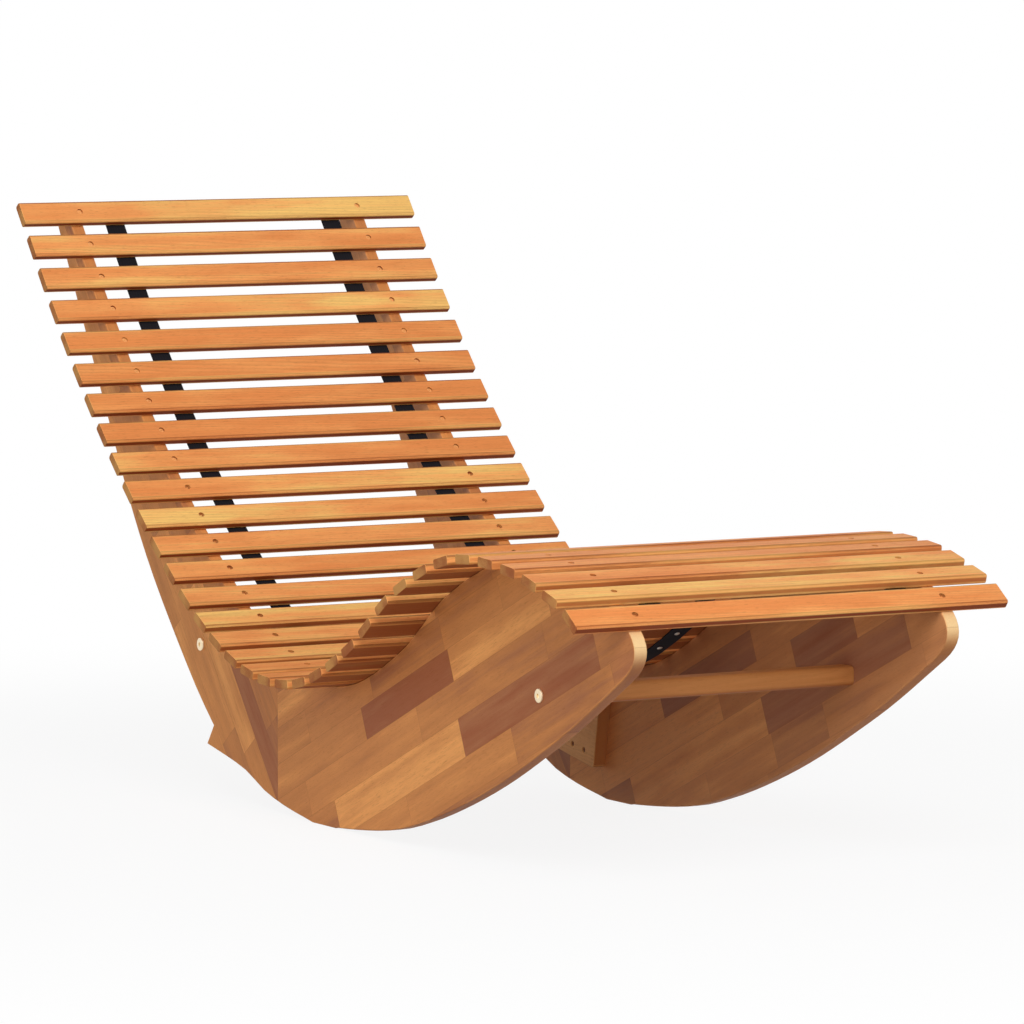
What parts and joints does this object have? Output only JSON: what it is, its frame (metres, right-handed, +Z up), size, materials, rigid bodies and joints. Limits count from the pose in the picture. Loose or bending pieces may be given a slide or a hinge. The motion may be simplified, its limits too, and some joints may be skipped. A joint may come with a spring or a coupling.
{
  "type": "rocking chaise lounge",
  "caption": "Wooden rocking chaise lounge: two curved rocker sides joined by crossbars carry an S-shaped bed of spaced slats with webbing straps under them.",
  "frame": {"origin": "on the floor, under the middle of the bounding box", "axes": "+X along the slats, +Y from the foot end to the head end, +Z up, at its rest balance"},
  "size_m": [0.6, 1.5086, 0.7624],
  "materials": {
    "slat_wood": "oiled hardwood, orange brown",
    "pale_slat_wood": "oiled hardwood, yellow brown",
    "board_wood": "oiled glued stave board, red brown to light brown",
    "plate_wood": "oiled hardwood",
    "bar_wood": "oiled hardwood",
    "webbing": "black woven webbing",
    "zinc": "yellow zinc plated"
  },
  "bodies": {
    "root": {"slat_01": "slat_wood", "slat_02": "slat_wood", "slat_03": "slat_wood", "slat_04": "pale_slat_wood", "slat_05": "slat_wood", "slat_06": "slat_wood", "slat_07": "slat_wood", "slat_08": "slat_wood", "slat_09": "slat_wood", "slat_10": "pale_slat_wood", "slat_11": "pale_slat_wood", "slat_12": "slat_wood", "slat_13": "slat_wood", "slat_14": "slat_wood", "slat_15": "pale_slat_wood", "slat_16": "slat_wood", "slat_17": "slat_wood", "slat_18": "slat_wood", "slat_19": "slat_wood", "slat_20": "slat_wood", "slat_21": "slat_wood", "slat_22": "slat_wood", "slat_23": "slat_wood", "slat_24": "slat_wood", "slat_25": "slat_wood", "slat_26": "slat_wood", "slat_27": "slat_wood", "slat_28": "slat_wood", "slat_29": "slat_wood", "slat_30": "slat_wood", "slat_31": "slat_wood", "slat_32": "slat_wood", "slat_33": "pale_slat_wood", "slat_34": "slat_wood", "slat_35": "slat_wood", "left_front_board": "board_wood", "left_rear_board": "board_wood", "left_joint_plate": "plate_wood", "left_strap": "webbing", "left_front_bolt": "zinc", "left_front_barrel_nut": "zinc", "left_rear_bolt": "zinc", "left_rear_barrel_nut": "zinc", "right_front_board": "board_wood", "right_rear_board": "board_wood", "right_joint_plate": "plate_wood", "right_strap": "webbing", "right_front_bolt": "zinc", "right_front_barrel_nut": "zinc", "right_rear_bolt": "zinc", "right_rear_barrel_nut": "zinc", "front_crossbar": "bar_wood", "rear_crossbar": "bar_wood"}
  },
  "joints": []
}
